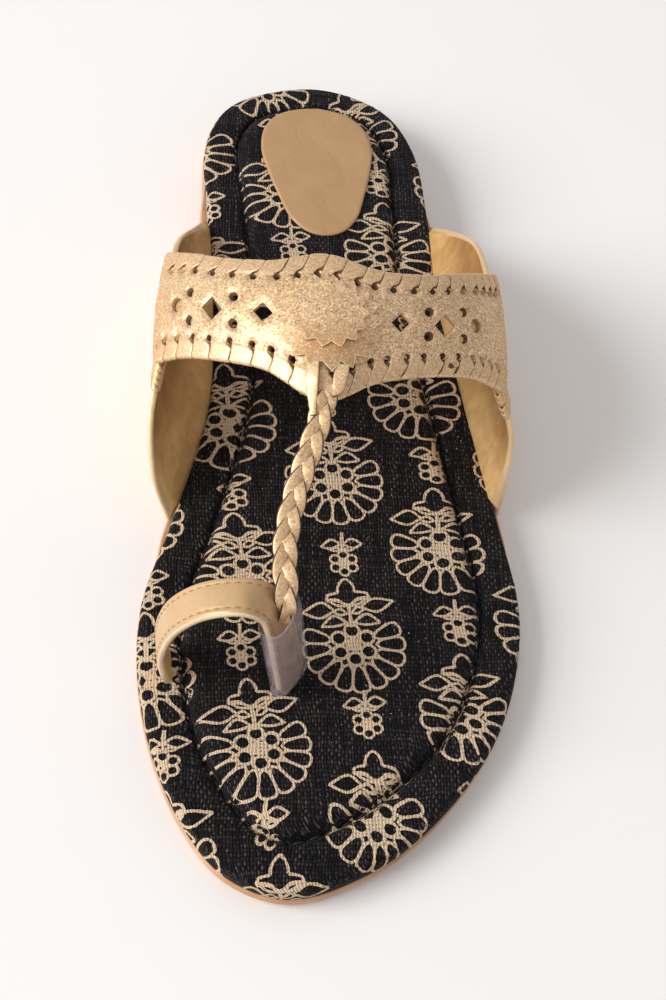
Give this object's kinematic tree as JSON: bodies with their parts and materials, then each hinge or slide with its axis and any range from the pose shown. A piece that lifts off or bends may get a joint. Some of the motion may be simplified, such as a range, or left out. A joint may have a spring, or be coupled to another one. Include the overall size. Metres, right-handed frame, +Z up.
{
  "type": "kolhapuri sandal",
  "caption": "Left kolhapuri sandal, women's size: black block-printed footbed, perforated pale gold leather band, plaited thong, sleeved toe post and big toe loop",
  "frame": {"origin": "centre of the sandal's footprint, on the floor", "axes": "+Z up, +Y from toe to heel, so -Y is the way the toes point; +X towards the lateral (little toe) side of this left sandal"},
  "size_m": [0.0952, 0.2532, 0.0693],
  "materials": {
    "outsole": "matte, smooth cut edge",
    "heel_lift": "stacked layers, burnished",
    "footbed": "coarse black cotton weave with a cream block print",
    "heel_badge": "smooth tan gold, bare",
    "upper": "crinkled pale gold foil, satin gold lining",
    "rosette_lower": "pinked pale gold foil",
    "rosette_upper": "pinked pale gold foil",
    "plait": "glossy pale gold strands",
    "toe_loop": "folded pale gold strap with stitched edges",
    "post_sleeve": "clear lilac vinyl"
  },
  "bodies": {
    "root": {"outsole": "outsole", "heel_lift": "heel_lift", "footbed": "footbed", "heel_badge": "heel_badge", "upper": "upper", "rosette_lower": "rosette_lower", "rosette_upper": "rosette_upper", "plait": "plait", "toe_loop": "toe_loop", "post_sleeve": "post_sleeve"}
  },
  "joints": []
}
